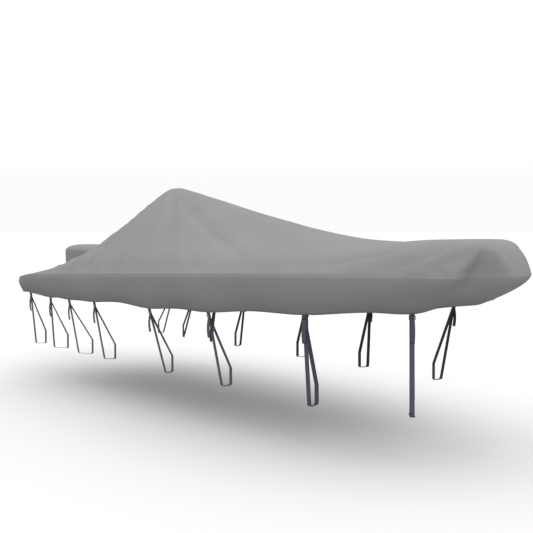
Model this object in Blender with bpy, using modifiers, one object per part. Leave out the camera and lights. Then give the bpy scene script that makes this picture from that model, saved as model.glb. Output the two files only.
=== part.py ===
"""Fitted boat cover, drawn taut over a centre peak and tied down by webbing.

x runs from the stern to the bow, y to port, z up, in metres. Heights are first given
above the ground that the cover hangs over. One empty then carries all the pieces, so
that the point that holds the cover, under its peak, is the origin.
"""

from collections import namedtuple
import math

import bmesh
import bpy
from mathutils import Matrix, Vector

# ---- driving dimensions -------------------------------------------------------
LENGTH = 5.88            # stern edge to the front of the bow, along the bend line
HALF_BEAM = 1.05
CORNER_RADIUS = 0.06     # the stern corners, seen from above
BOW_START = 3.90         # the bend line starts to round in here
BOW_ALONG, BOW_ACROSS = 2.6, 2.2    # powers of the round that the bow follows

PEAK_X, PEAK_Z = 1.69, 2.142        # top of the sheet over the centre peak
CLOTH = 0.0025           # the sheet, turned hems included
GAP = 0.0004             # clearance between pieces that touch
SEAM_GAP = 0.0030        # between the top and the skirt, whose inner faces lean together
HOLD_DEPTH = 0.010       # the holding point lies this far under the peak

SPINE_AFT, SPINE_FORE = 0.30, 5.40  # the ridge runs between these two
RIDGE_SOFTNESS = 0.07    # share of the half width that the ridge rounds over
BAND_FLARE = 0.009       # the foot of the band stands out from its upper edge by this
BAND_MIDDLE, BAND_LEAN = 0.5, 0.7   # half way down, the band has this share of its flare
SKIRT_CURVE = 1.6        # power of the skirt's tuck: it turns in more near the hem

# height of the ridge over the ground, stern to bow
RIDGE = [  # x, z
    (0.00, 1.460), (0.30, 1.585), (0.67, 1.755), (1.02, 1.915), (1.30, 2.030),
    (1.58, 2.134), (1.69, 2.142), (1.79, 2.136), (2.28, 2.032), (3.05, 1.866),
    (3.70, 1.733), (4.15, 1.655), (4.38, 1.628), (4.70, 1.610), (4.95, 1.606),
    (5.20, 1.622), (5.40, 1.636),
]
# the bend between top and skirt: its upper edge, and the height of the band under it
BEND = [  # x, z, band
    (0.00, 1.168, 0.047), (0.35, 1.212, 0.046), (4.90, 1.396, 0.031),
    (5.40, 1.408, 0.030), (5.88, 1.412, 0.040),
]
# power of the fall from ridge to bend: 1 is a straight tent, more is a plateau
SPREAD = [  # x of the bend, power to starboard, power to port
    (0.00, 0.44, 0.44), (0.40, 0.53, 0.55), (0.80, 0.74, 0.74), (1.20, 0.88, 0.88),
    (1.70, 1.00, 1.00), (3.00, 1.12, 1.12), (4.00, 1.60, 1.60), (4.50, 2.20, 2.40),
    (4.90, 3.00, 4.00), (5.30, 4.20, 7.00), (5.60, 5.60, 9.00), (5.75, 8.50, 7.50),
    (5.83, 10.0, 5.50), (5.88, 6.50, 6.50),
]
# edge of the skirt: low where a tie pulls, higher between two ties
HEM = [  # x of the bend, z to starboard, z to port, tuck under the bend
    (0.00, 1.000, 1.000, 0.045), (0.12, 0.998, 1.004, 0.075),
    (0.64, 0.967, 0.972, 0.090), (0.86, 0.975, 0.986, 0.090),
    (1.08, 0.970, 0.974, 0.090), (1.36, 0.978, 0.990, 0.090),
    (1.63, 0.980, 0.982, 0.090), (2.15, 1.009, 1.012, 0.088),
    (2.68, 0.988, 0.994, 0.090), (3.16, 1.018, 1.026, 0.092),
    (3.62, 1.021, 1.024, 0.094), (4.20, 1.070, 1.066, 0.098),
    (4.76, 1.079, 1.084, 0.108), (5.26, 1.116, 1.134, 0.165),
    (5.58, 1.108, 1.164, 0.262), (5.76, 1.140, 1.160, 0.330),
    (5.88, 1.150, 1.150, 0.345),
]
# the stern edge falls from the motor hood to the two corners
STERN_EDGE = [  # y, z
    (0.00, 1.460), (0.12, 1.400), (0.26, 1.335), (0.485, 1.270), (0.695, 1.215),
    (0.88, 1.180), (1.05, 1.168),
]

# folds of the drawn sheet: a soft ridge, or a trough where the height is negative
FOLDS = [  # width, height, the points of the sheet that it runs through
    # from the peak down to the starboard bend, the foremost first
    (0.055, -0.010, ((1.71, -0.07, 2.10), (2.20, -0.38, 1.80), (2.42, -0.62, 1.61))),
    (0.065, 0.010, ((1.70, -0.10, 2.09), (2.00, -0.47, 1.77), (2.12, -1.00, 1.31))),
    (0.060, -0.009, ((1.66, -0.10, 2.09), (1.70, -0.43, 1.82), (1.78, -0.98, 1.34))),
    (0.060, 0.010, ((1.58, -0.12, 2.05), (1.48, -0.55, 1.68), (1.60, -1.00, 1.29))),
    (0.055, -0.012, ((1.30, -0.55, 1.66), (1.39, -0.80, 1.45), (1.46, -1.02, 1.29))),
    (0.055, 0.015, ((1.02, -0.20, 1.83), (1.02, -0.68, 1.46), (1.22, -1.02, 1.27))),
    (0.055, -0.015, ((0.86, -0.30, 1.68), (0.80, -0.80, 1.36), (0.96, -1.02, 1.25))),
    (0.050, 0.013, ((0.60, -0.30, 1.55), (0.56, -0.80, 1.29), (0.70, -1.02, 1.23))),
    # long ones, from the peak towards the bow
    (0.045, -0.007, ((1.86, -0.10, 2.05), (2.81, -0.42, 1.72), (4.10, -0.88, 1.45))),
    (0.070, 0.008, ((2.10, -0.06, 2.03), (3.00, -0.34, 1.74), (3.90, -0.66, 1.53))),
    # the port side
    (0.060, -0.015, ((1.58, 0.10, 2.07), (1.30, 0.45, 1.74), (1.12, 0.98, 1.27))),
    (0.060, 0.016, ((1.66, 0.12, 2.07), (1.86, 0.52, 1.75), (1.92, 1.00, 1.31))),
    (0.070, -0.018, ((1.84, 0.10, 2.05), (2.60, 0.45, 1.76), (3.60, 0.92, 1.42))),
    (0.055, 0.014, ((0.62, 0.50, 1.42), (0.76, 0.78, 1.33), (0.90, 1.02, 1.24))),
    # round the point of the bow
    (0.050, 0.012, ((5.76, -0.16, 1.61), (5.76, -0.32, 1.57), (5.69, -0.49, 1.49),
                    (5.54, -0.69, 1.40))),
    (0.050, -0.004, ((5.79, -0.28, 1.55), (5.74, -0.42, 1.49), (5.64, -0.58, 1.42))),
    (0.048, 0.016, ((5.60, -0.35, 1.58), (5.54, -0.58, 1.53), (5.30, -0.77, 1.46),
                    (5.14, -0.86, 1.42))),
    (0.040, -0.010, ((5.42, -0.62, 1.55), (5.24, -0.74, 1.51), (4.90, -0.88, 1.44))),
    (0.036, 0.005, ((5.80, -0.33, 1.49), (5.77, -0.42, 1.45), (5.73, -0.50, 1.40))),
    (0.034, 0.007, ((5.80, -0.08, 1.59), (5.82, -0.03, 1.52), (5.86, 0.04, 1.41))),
    (0.055, -0.014, ((5.66, 0.18, 1.59), (5.64, 0.45, 1.54), (5.58, 0.65, 1.43))),
    (0.055, 0.015, ((5.50, 0.45, 1.61), (5.36, 0.70, 1.53), (5.14, 0.88, 1.42))),
]
FOLD_RUN_OUT = 0.14      # share of its length over which a fold fades at each end
FOLD_GROWTH = 0.7        # how much wider a fold is at its foot than at its head
FOLD_REACH = 3.0         # a fold is felt as far as this many of its widths away

# the sheet hangs in a hollow under the point of the bow
BOW_HOLLOW = [  # z, middle y, half width, depth
    (1.120, -0.19, 0.30, 0.000), (1.170, -0.19, 0.30, 0.050), (1.280, -0.19, 0.30, 0.132),
    (1.330, -0.19, 0.30, 0.154), (1.380, -0.18, 0.28, 0.146), (1.430, -0.17, 0.24, 0.116),
    (1.470, -0.16, 0.20, 0.088), (1.530, -0.15, 0.135, 0.045), (1.580, -0.14, 0.060, 0.010),
    (1.605, -0.14, 0.03, 0.000),
]

# motor hood: a pocket sewn to the stern edge
HOOD_AFT, HOOD_FORE = -0.63, 0.20
HOOD_HALF_WIDTH = 0.235
HOOD_TOP, HOOD_HEM = 1.522, 0.940
HOOD_SQUARENESS = 3.2    # power of its outline, seen from above
HOOD_CROWN = 0.085       # its top is this much higher than its shoulder
HOOD_ROUND = 0.55        # power of the shoulder's round
HOOD_WALL, HOOD_TAPER = 0.45, 0.07     # share of its grid in the wall; hem taken in
CUT_FLOOR = 0.85         # what cuts the two sheets reaches down to here

# ties: webbing sewn inside the hem, led down, round in a long loop and back up
WEB_WIDTH, WEB = 0.038, 0.0015
Tie = namedtuple("Tie", "name x outer_x inner_x reach")
# name, x of the bend over it, x of its outer and inner leg below, y of the loop
PAIRED_TIES = [
    Tie("stern", 0.16, 0.05, 0.09, 0.86),
    Tie("one", 0.64, 0.52, 0.65, 0.86),
    Tie("two", 1.08, 1.10, 1.22, 0.86),
    Tie("three", 1.63, 1.66, 1.70, 0.86),
    Tie("four", 2.68, 2.80, 2.76, 0.86),
    Tie("five", 3.61, 3.67, 3.66, 0.86),
]
STARBOARD_TIES = PAIRED_TIES + [
    Tie("six", 4.76, 4.77, 4.74, 0.86),
    Tie("seven", 5.58, 5.51, 5.42, 0.56),
]
PORT_TIES = PAIRED_TIES + [Tie("six", 4.70, 4.57, 4.57, 0.86)]
LOOP_TOP, LOOP_BOTTOM, LOOP_WIDTH = 0.545, 0.400, 0.100   # the loop's square foot
LOOP_CORNER = 0.010      # the webbing rounds the corners of the foot by this
TAIL = 0.16              # free end of a tie, under its buckle
TAIL_SWAY = 0.010        # its slack middle stands out by this
TAB_DROP = 0.006         # a tab turns towards its buckle this far under the hem
TAB_ABOVE, TAB_BELOW = 0.040, 0.010    # its reach over and under that turn
TAB_CLEAR = 0.0030       # room between the skirt and a tab
BUCKLE_WIDTH, BUCKLE = 0.050, 0.004
BUCKLE_BARS = (0.005, 0.007, 0.008, 0.010, 0.005)   # bar, slot, bar, slot, bar
BUCKLE_CHAMFER = 0.004   # cut off its corners
SLOT_ROOM = 0.001        # a slot is wider than the webbing by this on each side
BUCKLE_STRAIGHT = 0.012  # webbing runs straight this far before it bends at a bar
BUCKLE_PASS = 0.052      # the inner leg runs behind the buckle this far from the turn

# ---- mesh density ---------------------------------------------------------------
STERN_ROWS, CORNER_ROWS = 5, 2
SIDE_ROWS = [  # row, x: close together where folds fan out from the peak
    (0, 0.06), (3, 0.36), (25, 2.30), (34, 3.90),
]
BOW_ROWS = [  # row, degrees round the bow: close together at its point
    (0, 0.0), (9, 38.0), (26, 90.0),
]
TOP_COLUMNS, SKIRT_COLUMNS = 12, 4
TOP_SPACING = 1.35       # the columns of the top crowd towards the bend
HOOD_AROUND, HOOD_UP = 28, 9
LEG_STEPS, TURN_STEPS, TAIL_STEPS = 3, 4, 3
MERGE = 0.0004           # points of a grid that lie this close become one


def along(table, x, column=1):
    """Read a column of a table at x, on a smooth curve through its rows."""
    if x <= table[0][0]:
        return table[0][column]
    if x >= table[-1][0]:
        return table[-1][column]
    k = max(i for i in range(len(table) - 1) if table[i][0] <= x)

    def slope(i):
        before, after = table[max(i - 1, 0)], table[min(i + 1, len(table) - 1)]
        return (after[column] - before[column]) / (after[0] - before[0])

    x0, x1 = table[k][0], table[k + 1][0]
    y0, y1 = table[k][column], table[k + 1][column]
    step = x1 - x0
    u = (x - x0) / step
    return (y0 * (1 + 2 * u) * (1 - u) ** 2 + y1 * u * u * (3 - 2 * u)
            + slope(k) * step * u * (1 - u) ** 2 - slope(k + 1) * step * u * u * (1 - u))


def smooth(u):
    """0 to 1 with level ends."""
    u = min(max(u, 0.0), 1.0)
    return u * u * (3 - 2 * u)


def bend_points():
    """Plan points of the bend line, centre of the stern to the bow, and normals."""
    points = []
    for k in range(STERN_ROWS):
        y = (HALF_BEAM - CORNER_RADIUS) * k / STERN_ROWS
        points.append((Vector((0.0, y)), Vector((-1.0, 0.0))))
    for k in range(CORNER_ROWS):
        a = math.pi / 2 * k / CORNER_ROWS
        out = Vector((-math.cos(a), math.sin(a)))
        centre = Vector((CORNER_RADIUS, HALF_BEAM - CORNER_RADIUS))
        points.append((centre + out * CORNER_RADIUS, out))
    for k in range(SIDE_ROWS[-1][0]):
        points.append((Vector((along(SIDE_ROWS, k), HALF_BEAM)), Vector((0.0, 1.0))))
    for k in range(BOW_ROWS[-1][0] + 1):
        points.append(bow_point(math.radians(along(BOW_ROWS, k))))
    return points


def bow_point(a):
    """Point and outward normal of the bend line round the bow, a from 0 to 90 degrees."""
    reach = LENGTH - BOW_START
    u = math.sin(a) ** (2 / BOW_ALONG)
    v = max(math.cos(a), 0.0) ** (2 / BOW_ACROSS)
    normal = Vector((BOW_ALONG * u ** (BOW_ALONG - 1) / reach,
                     BOW_ACROSS * v ** (BOW_ACROSS - 1) / HALF_BEAM))
    return Vector((BOW_START + reach * u, HALF_BEAM * v)), normal.normalized()


def bend_at(x):
    """Point of the bend line at x, and its outward normal, on the port side."""
    if x <= BOW_START:
        return Vector((x, HALF_BEAM)), Vector((0.0, 1.0))
    share = (x - BOW_START) / (LENGTH - BOW_START)
    return bow_point(math.asin(share ** (BOW_ALONG / 2)))


def edge_height(point):
    """Height of the bend's upper edge."""
    height = along(BEND, point.x)
    if point.x < CORNER_RADIUS:
        rise = along(STERN_EDGE, point.y) - STERN_EDGE[-1][1]
        height += rise * (1 - smooth(point.x / CORNER_RADIUS))
    return height


def fold_height(point):
    """Sum of the folds at a place, each a soft rounded ridge or trough."""
    total = 0.0
    for width, height, line in FOLDS:
        nearest, share = distance_along(point, line)
        away = nearest / (width * (1 - FOLD_GROWTH / 2 + FOLD_GROWTH * share))
        if away < FOLD_REACH:
            fade = smooth(share / FOLD_RUN_OUT) * smooth((1 - share) / FOLD_RUN_OUT)
            total += height * fade * math.exp(-away * away)
    return total


def distance_along(point, line):
    """Distance from a point to a line of points, and where along it that is, 0 to 1."""
    corners = [Vector(corner) for corner in line]
    lengths = [(b - a).length for a, b in zip(corners, corners[1:])]
    best = (math.inf, 0.0)
    for k, length in enumerate(lengths):
        run = corners[k + 1] - corners[k]
        u = min(max((point - corners[k]).dot(run) / run.length_squared, 0.0), 1.0)
        away = (point - corners[k] - run * u).length
        best = min(best, (away, (sum(lengths[:k]) + u * length) / sum(lengths)))
    return best


def hollow(point):
    """How far the sheet is drawn back under the point of the bow."""
    if point.x < SPINE_FORE:
        return 0.0
    middle, half = along(BOW_HOLLOW, point.z), along(BOW_HOLLOW, point.z, 2)
    return along(BOW_HOLLOW, point.z, 3) * (1 - smooth(abs(point.y - middle) / half))


def skirt_point(bend, outward, fall, side):
    """Point of the skirt; fall is 0 at the foot of the band and 1 at the hem."""
    top = edge_height(bend) - along(BEND, bend.x, 2)
    hem_z = along(HEM, bend.x, 1 if side < 0 else 2)
    tuck = along(HEM, bend.x, 3) * fall ** SKIRT_CURVE
    plan = bend + outward * (BAND_FLARE - tuck)
    return Vector((plan.x, plan.y, top + (hem_z - top) * fall))


def band_point(bend, outward):
    """Point half way down the band."""
    plan = bend + outward * BAND_FLARE * BAND_LEAN
    drop = along(BEND, bend.x, 2) * BAND_MIDDLE
    return Vector((plan.x, plan.y, edge_height(bend) - drop))


def top_point(bend, share, side):
    """Point of the top, straight from the bend line, share 1, to the ridge, share 0."""
    spine = Vector((min(max(bend.x, SPINE_AFT), SPINE_FORE), 0.0))
    plan = spine.lerp(bend, share)
    soft = math.hypot(share, RIDGE_SOFTNESS) - RIDGE_SOFTNESS
    soft /= math.hypot(1, RIDGE_SOFTNESS) - RIDGE_SOFTNESS
    power = along(SPREAD, bend.x, 1 if side < 0 else 2)
    edge, ridge = edge_height(bend), along(RIDGE, spine.x)
    return Vector((plan.x, plan.y, edge + (ridge - edge) * (1 - soft ** power)))


def cover_point(bend, outward, side, column):
    """Point of the sheet; column runs from the hem, 0, to the ridge, the last."""
    if column <= SKIRT_COLUMNS:
        point = skirt_point(bend, outward, 1 - column / SKIRT_COLUMNS, side)
    elif column == SKIRT_COLUMNS + 1:
        point = band_point(bend, outward)
    else:
        inward = (column - SKIRT_COLUMNS - 2) / TOP_COLUMNS
        point = top_point(bend, 1 - inward ** TOP_SPACING, side)
    point.y *= side
    point.x -= hollow(point)
    return point


def hood_point(angle, rise, inset):
    """Point of the motor hood; rise runs from its hem, 0, to the middle of its top, 1."""
    power = 2 / HOOD_SQUARENESS
    c, s = math.cos(angle), math.sin(angle)
    x = math.copysign(abs(c) ** power, c)
    y = math.copysign(abs(s) ** power, s)
    shoulder = HOOD_TOP - HOOD_CROWN
    if rise < HOOD_WALL:
        size = 1 - HOOD_TAPER * (1 - smooth(rise / HOOD_WALL))
        z = HOOD_HEM + (shoulder - HOOD_HEM) * rise / HOOD_WALL
    else:
        a = math.pi / 2 * (rise - HOOD_WALL) / (1 - HOOD_WALL)
        size = math.cos(a) ** HOOD_ROUND
        z = shoulder + (HOOD_CROWN - inset) * math.sin(a)
    middle, reach = (HOOD_AFT + HOOD_FORE) / 2, (HOOD_FORE - HOOD_AFT) / 2
    return Vector((middle + (reach - inset) * size * x,
                   (HOOD_HALF_WIDTH - inset) * size * y, z))


Place = namedtuple("Place", "origin up across face leg out corner")


def tie_place(tie, side):
    """Where a tie leaves the hem: a point in its buckle's plane, and its directions.

    They point up the skirt, across the webbing, out of the skirt's face, up the tie's
    outer leg and out of the buckle's face. The corner lies between the two faces, and is
    long enough to keep layers of webbing parallel round the turn from one to the other.
    """
    hem = skirt_point(*bend_at(tie.x), 1.0, side)
    up = (skirt_point(*bend_at(tie.x), 1 - 1 / SKIRT_COLUMNS, side) - hem).normalized()
    along_hem = (skirt_point(*bend_at(tie.x + WEB_WIDTH), 1.0, side)
                 - skirt_point(*bend_at(tie.x - WEB_WIDTH), 1.0, side)).normalized()
    face = up.cross(along_hem).normalized()
    origin = hem - up * TAB_DROP - face * (CLOTH + TAB_CLEAR + WEB + GAP + BUCKLE / 2)
    leg = (origin - Vector((tie.outer_x, tie.reach, LOOP_BOTTOM))).normalized()
    across = (along_hem - leg * leg.dot(along_hem)).normalized()
    out = leg.cross(across)
    return Place(origin, up, across, face, leg, out, (face + out) / (1 + face.dot(out)))


def round_bar(bar, start, along_bar):
    """Points of a half turn round a bar, from start over to the other side."""
    turn = []
    for k in range(TURN_STEPS + 1):
        a = math.pi * k / TURN_STEPS
        turn.append(bar + start * math.cos(a) + along_bar * math.sin(a))
    return turn


def tab_route(tie, side):
    """The tab: sewn inside the hem, down round the buckle's top bar and up again."""
    at = tie_place(tie, side)
    turn = BUCKLE / 2 + GAP + WEB / 2
    bar = at.origin - at.leg * (TAB_BELOW + BUCKLE_BARS[0])
    sewn = at.origin + at.up * TAB_ABOVE
    points = [sewn + at.face * turn, at.origin + at.corner * turn]
    points += round_bar(bar, at.out * turn, -at.leg * turn)
    points += [at.origin - at.corner * turn, sewn - at.face * turn]
    return [(point, at.across) for point in points]


def tie_route(tie, side):
    """The tie: sewn end, inner leg, foot, outer leg, through the buckle, free end."""
    at = tie_place(tie, side)
    turn = BUCKLE / 2 + GAP + WEB / 2
    behind = turn + WEB + 2 * GAP
    ahead = Vector((at.across.x, at.across.y, 0.0)).normalized()    # level, along the hem
    inner_y = tie.reach - LOOP_WIDTH
    start = at.origin - at.out * behind - at.leg * BUCKLE_PASS
    route = [(at.origin + at.up * TAB_ABOVE - at.face * behind, at.across),
             (at.origin - at.corner * behind, at.across), (start, at.across)]
    inner_top = Vector((tie.inner_x, inner_y, LOOP_TOP))
    for k in range(1, LEG_STEPS + 1):
        u = k / LEG_STEPS
        route.append((start.lerp(inner_top, u), at.across.lerp(ahead, smooth(u)).normalized()))
    for x, y, z in (
            (tie.inner_x, inner_y, LOOP_BOTTOM + LOOP_CORNER),
            (tie.inner_x, inner_y + LOOP_CORNER, LOOP_BOTTOM),
            (tie.outer_x, tie.reach - LOOP_CORNER, LOOP_BOTTOM),
            (tie.outer_x, tie.reach, LOOP_BOTTOM + LOOP_CORNER)):
        route.append((Vector((x, y, z)), ahead))
    bar = at.origin - at.leg * (TAB_BELOW + sum(BUCKLE_BARS[:4]))
    foot, end = route[-1][0], bar - at.out * turn - at.leg * BUCKLE_STRAIGHT
    for k in range(1, LEG_STEPS + 1):
        u = k / LEG_STEPS
        route.append((foot.lerp(end, u), ahead.lerp(at.across, smooth(u)).normalized()))
    route += [(point, at.across) for point in round_bar(bar, -at.out * turn, at.leg * turn)]
    below = bar + at.out * turn - at.leg * BUCKLE_STRAIGHT
    route.append((below, at.across))
    upright = Vector((0.0, 0.0, 1.0))
    lie = upright if upright.dot(at.out) < 0 else at.leg    # a leg that leans out carries it
    for k in range(1, TAIL_STEPS + 1):
        sway = TAIL_SWAY * math.sin(math.pi * k / TAIL_STEPS)
        route.append((below + at.out * sway - lie * TAIL * k / TAIL_STEPS, at.across))
    return route


def material(name, colour, roughness):
    """Plain material with the piece's own colour."""
    made = bpy.data.materials.new(name)
    made.use_nodes = True
    shader = made.node_tree.nodes["Principled BSDF"]
    shader.inputs["Base Color"].default_value = (*colour, 1.0)
    shader.inputs["Roughness"].default_value = roughness
    shader.inputs["Metallic"].default_value = 0.0
    return made


def grid(rows, columns, place, relief=None):
    """A bmesh grid laid out by place(row, column), raised by relief along its normals.

    Each point remembers how many columns it lies in from the nearer side.
    """
    bm = bmesh.new()
    bmesh.ops.create_grid(bm, x_segments=rows, y_segments=columns, size=0.5)
    inward = bm.verts.layers.int.new("inward")
    for vert in bm.verts:
        row = round((vert.co.x + 0.5) * rows)
        column = round((vert.co.y + 0.5) * columns)
        vert.co = place(row, column)
        vert[inward] = min(column, columns - column)
    bmesh.ops.remove_doubles(bm, verts=bm.verts, dist=MERGE)
    bmesh.ops.recalc_face_normals(bm, faces=bm.faces)
    if relief:
        bm.normal_update()
        heights = [(vert, vert.normal * relief(vert.co)) for vert in bm.verts]
        for vert, height in heights:
            vert.co += height
    bmesh.ops.triangulate(bm, faces=bm.faces, quad_method="FIXED")
    return bm


def add_object(name, bm, finish, collection):
    """Turn a bmesh into an object that hangs from the holding point."""
    mesh = bpy.data.meshes.new(name)
    bm.to_mesh(mesh)
    bm.free()
    mesh.shade_smooth()
    mesh.materials.append(finish)
    made = bpy.data.objects.new(name, mesh)
    collection.objects.link(made)
    made.parent = carrier
    return made


def thicken(piece, thickness, offset):
    """Give a sheet its thickness; offset -1 keeps its outer face, 0 its middle."""
    wall = piece.modifiers.new("thickness", "SOLIDIFY")
    wall.thickness = thickness
    wall.offset = offset
    wall.use_even_offset = True


def cut(piece, cutter):
    """Take the cutter's volume off a piece."""
    taken = piece.modifiers.new("cut", "BOOLEAN")
    taken.operation = "DIFFERENCE"
    taken.solver = "EXACT"
    taken.object = cutter


def cutter_object(name, bm, floor):
    """Close an open sheet down to a level floor, as a guide that cuts."""
    rim = [edge for edge in bm.edges if edge.is_boundary]
    lower = bmesh.ops.extrude_edge_only(bm, edges=rim)["geom"]
    for vert in lower:
        if isinstance(vert, bmesh.types.BMVert):
            vert.co.z = floor
    bmesh.ops.holes_fill(bm, edges=[edge for edge in bm.edges if edge.is_boundary])
    bmesh.ops.recalc_face_normals(bm, faces=bm.faces)
    made = add_object(name, bm, cloth, cutters)
    made.hide_render = True
    made.display_type = "WIRE"
    return made


def cover_grid(outset=0.0):
    """The sheet of the cover, hem to hem, or the same a little larger."""
    points = bend_points()
    half = SKIRT_COLUMNS + 2 + TOP_COLUMNS

    def place(row, column):
        bend, outward = points[row]
        side = -1 if column <= half else 1
        return cover_point(bend, outward, side, min(column, 2 * half - column))

    return grid(len(points) - 1, 2 * half, place, lambda at: fold_height(at) + outset)


def top_grid():
    """The top, with the band at its edge."""
    bm = cover_grid()
    inward = bm.verts.layers.int["inward"]
    skirt = [face for face in bm.faces
             if min(vert[inward] for vert in face.verts) < SKIRT_COLUMNS]
    bmesh.ops.delete(bm, geom=skirt, context="FACES")
    return bm


def skirt_grid():
    """The skirt, sewn to the foot of the band all the way round."""
    bm = cover_grid()
    inward = bm.verts.layers.int["inward"]
    top = [face for face in bm.faces
           if max(vert[inward] for vert in face.verts) > SKIRT_COLUMNS]
    bmesh.ops.delete(bm, geom=top, context="FACES")
    for vert in bm.verts:
        if vert[inward] == SKIRT_COLUMNS:
            vert.co.z -= SEAM_GAP
    return bm


def hood_grid(inset=0.0):
    """The pocket over the motor, or the same a little smaller."""
    def place(row, column):
        return hood_point(2 * math.pi * row / HOOD_AROUND, column / HOOD_UP, inset)

    return grid(HOOD_AROUND, HOOD_UP, place)


def add_cloth():
    """The top, the skirt and the motor hood, joined where each ends at the next."""
    hood_inside = cutter_object("hood_inside", hood_grid(CLOTH + GAP), CUT_FLOOR)
    for name, bm in (("top", top_grid()), ("skirt", skirt_grid())):
        panel = add_object(name, bm, cloth, parts)
        thicken(panel, CLOTH, -1.0)
        cut(panel, hood_inside)
    hood = add_object("motor_hood", hood_grid(), cloth, parts)
    thicken(hood, CLOTH, -1.0)
    cut(hood, cutter_object("cover_inside", cover_grid(GAP), CUT_FLOOR))


def add_webbing(name, route, side):
    """A strip of webbing along a route of points and directions across it."""
    def place(row, column):
        point, across = route[row]
        point = point + across * WEB_WIDTH * (column - 0.5)
        return Vector((point.x, side * point.y, point.z))

    strip = add_object(name, grid(len(route) - 1, 1, place), webbing, parts)
    thicken(strip, WEB, 0.0)


def buckle_outline():
    """The buckle's rim with its four corners cut off, top edge at zero."""
    half, height, cut_off = BUCKLE_WIDTH / 2, sum(BUCKLE_BARS), BUCKLE_CHAMFER
    return [(half, -cut_off), (half - cut_off, 0), (cut_off - half, 0), (-half, -cut_off),
            (-half, cut_off - height), (cut_off - half, -height),
            (half - cut_off, -height), (half, cut_off - height)]


def buckle_slots():
    """The two slots, each between two bars."""
    slots = []
    wide = WEB_WIDTH / 2 + SLOT_ROOM
    for bars_above in (1, 3):
        top = sum(BUCKLE_BARS[:bars_above])
        bottom = sum(BUCKLE_BARS[:bars_above + 1])
        slots.append([(wide, -top), (-wide, -top), (-wide, -bottom), (wide, -bottom)])
    return slots


def add_buckle(name, tie, side):
    """A flat plastic buckle: an outline with two slots, hung in the tab."""
    at = tie_place(tie, side)
    shape = bpy.data.curves.new(name, "CURVE")
    shape.dimensions = "2D"
    shape.fill_mode = "BOTH"
    shape.extrude = BUCKLE / 2
    for points in [buckle_outline()] + buckle_slots():
        spline = shape.splines.new("POLY")
        spline.points.add(len(points) - 1)
        for k, (x, y) in enumerate(points):
            spline.points[k].co = (x, y, 0.0, 1.0)
        spline.use_cyclic_u = True
    shape.materials.append(plastic)
    made = bpy.data.objects.new(name, shape)
    parts.objects.link(made)
    made.parent = carrier
    flip = Matrix.Diagonal((1, side, 1)).to_3x3()
    top = flip @ (at.origin - at.leg * TAB_BELOW)
    made.matrix_local = Matrix.Translation(top) @ Matrix(
        (side * (flip @ at.across), flip @ at.leg, flip @ at.out)).transposed().to_4x4()


def add_ties():
    """The ties of both sides, each with its tab and its buckle."""
    for side, board, ties in ((-1, "starboard", STARBOARD_TIES), (1, "port", PORT_TIES)):
        for tie in ties:
            add_webbing(f"tab_{tie.name}_{board}", tab_route(tie, side), side)
            add_webbing(f"tie_{tie.name}_{board}", tie_route(tie, side), side)
            add_buckle(f"buckle_{tie.name}_{board}", tie, side)


for old in list(bpy.data.objects):
    bpy.data.objects.remove(old)
parts = bpy.data.collections.new("boat cover")
cutters = bpy.data.collections.new("cutters")
bpy.context.scene.collection.children.link(parts)
bpy.context.scene.collection.children.link(cutters)
cloth = material("coated polyester, mid grey", (0.30, 0.30, 0.31), 0.85)
webbing = material("polypropylene webbing, navy black", (0.012, 0.013, 0.030), 0.80)
plastic = material("moulded acetal, black", (0.010, 0.010, 0.014), 0.45)
carrier = bpy.data.objects.new("holding_point", None)
carrier.location = (-PEAK_X, 0.0, HOLD_DEPTH - PEAK_Z)
parts.objects.link(carrier)
add_cloth()
add_ties()
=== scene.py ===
"""Dresses the fitted boat cover: cloth, motor hood, webbing ties, buckles, camera, light."""

from collections import namedtuple
import math

import bmesh
import bpy
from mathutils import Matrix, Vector, noise
from mathutils.bvhtree import BVHTree


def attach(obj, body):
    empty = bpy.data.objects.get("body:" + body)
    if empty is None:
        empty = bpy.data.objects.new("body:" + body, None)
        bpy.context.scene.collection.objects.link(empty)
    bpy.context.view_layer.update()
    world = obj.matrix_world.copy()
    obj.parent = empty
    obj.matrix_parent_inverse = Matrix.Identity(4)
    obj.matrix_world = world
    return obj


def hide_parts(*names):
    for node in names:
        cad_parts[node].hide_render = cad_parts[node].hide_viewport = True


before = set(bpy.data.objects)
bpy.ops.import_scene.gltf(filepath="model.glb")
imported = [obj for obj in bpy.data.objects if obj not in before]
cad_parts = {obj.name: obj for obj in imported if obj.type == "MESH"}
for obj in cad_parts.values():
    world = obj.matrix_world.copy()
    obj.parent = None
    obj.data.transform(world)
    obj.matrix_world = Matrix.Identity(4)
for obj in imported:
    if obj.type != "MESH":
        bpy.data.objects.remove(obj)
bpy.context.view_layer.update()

# Places are given from the stern edge, the centre plane and the ground. ORIGIN is where
# the holding point under the peak lies among them, and it is taken off every piece.
ORIGIN = Vector((1.69, 0.0, 2.132))

# ---- camera: a standing viewer off the starboard bow ---------------------------------
EYE = Vector((9.72, -5.25, 1.72))
HEADING = 141.17         # degrees from +X, anticlockwise
DOWNWARD = 2.45          # degrees below level
LENS, FILM = 60.79, 36.0     # mm: focal length, and width of the frame behind it
FAR_CLIP = 900.0

# ---- the sheet: the same sizes as the solid ------------------------------------------
LENGTH, HALF_BEAM, CORNER_RADIUS = 5.88, 1.05, 0.06     # of the bend line, seen from above
BOW_START = 3.90         # the bend line starts to round in here
BOW_ALONG, BOW_ACROSS = 2.6, 2.2     # powers of the round that the bow follows
CLOTH, GAP = 0.0025, 0.0004
SPINE_AFT, SPINE_FORE = 0.30, 5.40   # the ridge runs between these two
RIDGE_SOFTNESS = 0.07    # share of the half width that the ridge rounds over
BAND_FLARE = 0.009       # the foot of the band stands out from its upper edge by this
BAND_MIDDLE, BAND_LEAN = 0.5, 0.7    # half way down, the band has this share of its flare
SKIRT_CURVE = 1.6        # power of the skirt's tuck: it turns in more near the hem

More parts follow.
